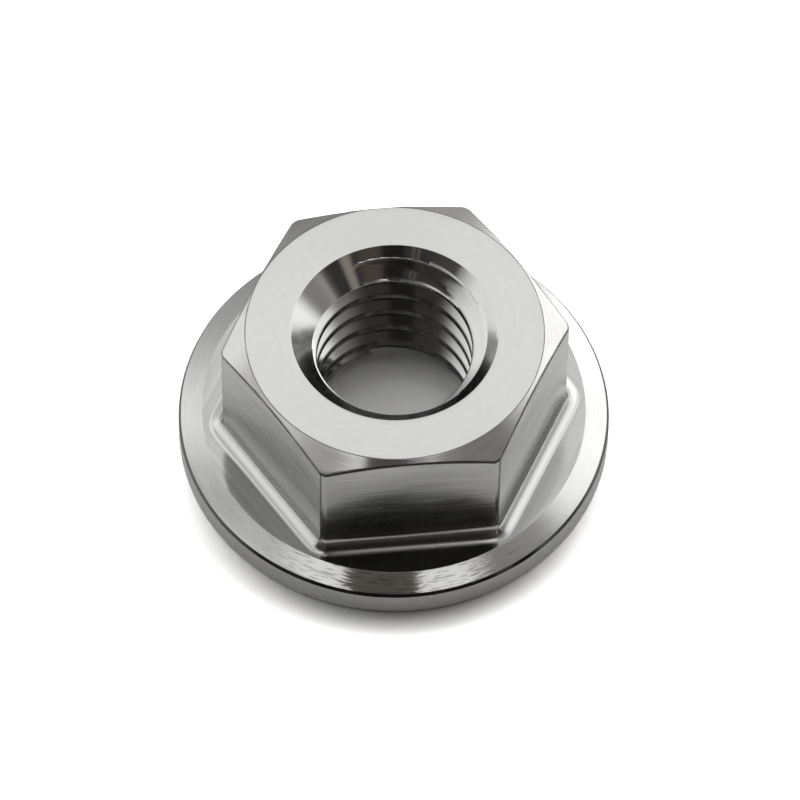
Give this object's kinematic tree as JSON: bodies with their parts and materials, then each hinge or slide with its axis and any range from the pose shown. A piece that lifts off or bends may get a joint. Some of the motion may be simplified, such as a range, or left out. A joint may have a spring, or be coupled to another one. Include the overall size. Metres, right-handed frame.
{
  "type": "hexagon flange nut",
  "caption": "Titanium hexagon nut with a turned washer flange, a rounded foot round the hexagon and a countersunk right-hand thread.",
  "frame": {"origin": "centre of the bearing face, on the thread's axis", "axes": "+Z along the thread's axis, from the bearing face to the top face; two flats of the hexagon face +Y and -Y"},
  "size_m": [0.0186, 0.0186, 0.0077],
  "materials": {
    "titanium": "bare machined titanium: satin turned top face, bright milled flats, glossy countersink"
  },
  "bodies": {
    "root": {"flange_nut": "titanium"}
  },
  "joints": []
}
